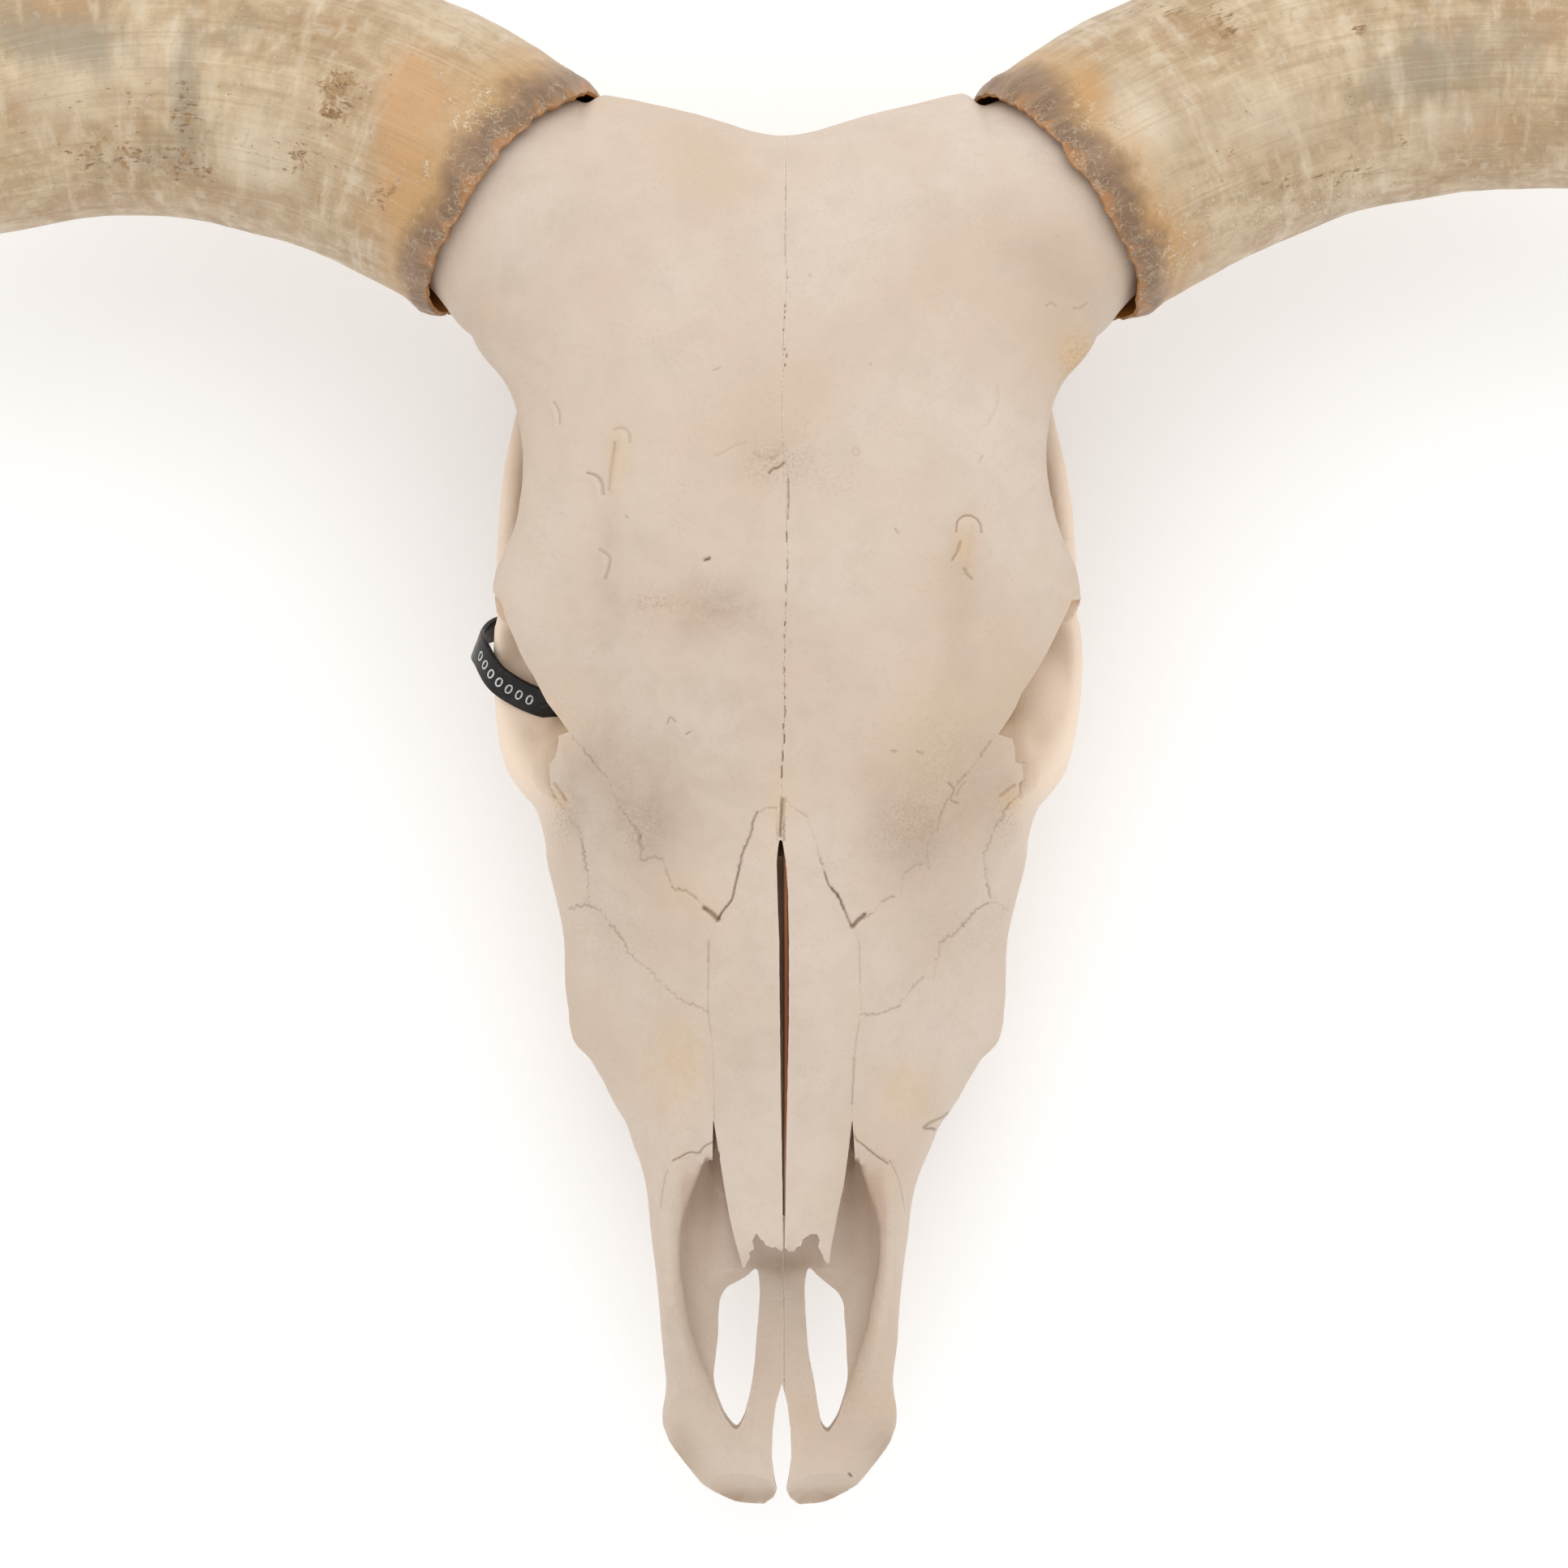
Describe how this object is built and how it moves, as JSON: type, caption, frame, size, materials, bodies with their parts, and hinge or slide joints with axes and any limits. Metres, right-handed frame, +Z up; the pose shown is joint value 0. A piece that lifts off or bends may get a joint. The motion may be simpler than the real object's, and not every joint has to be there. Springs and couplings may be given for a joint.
{
  "type": "bull skull with horns",
  "caption": "Life-size cleaned skull of a long-horned bull without its lower jaw, lying on its cheek teeth, with horn sheaths and a plastic seal strap in one eye socket.",
  "frame": {"origin": "middle of the bottom of the bounding box, on the floor under the skull", "axes": "+X to the animal's left, along the span of the horns; +Y from the muzzle to the poll; +Z up, out of the forehead"},
  "size_m": [1.172, 0.6158, 0.3502],
  "materials": {
    "bone": "dry cream bone with a dull, fine-pored surface",
    "tooth": "ivory enamel with darker grinding faces",
    "horn": "satin keratin, honey and cream with brown streaks along the horn",
    "strap_plastic": "satin black plastic"
  },
  "bodies": {
    "root": {"braincase": "bone", "frontal_left": "bone", "frontal_right": "bone", "nasal_left": "bone", "nasal_right": "bone", "lacrimal_left": "bone", "lacrimal_right": "bone", "zygomatic_left": "bone", "zygomatic_right": "bone", "maxilla_left": "bone", "maxilla_right": "bone", "incisive_left": "bone", "incisive_right": "bone", "teeth_left": "tooth", "teeth_right": "tooth", "horn_sheath_left": "horn", "horn_sheath_right": "horn", "tag_strap": "strap_plastic"}
  },
  "joints": []
}
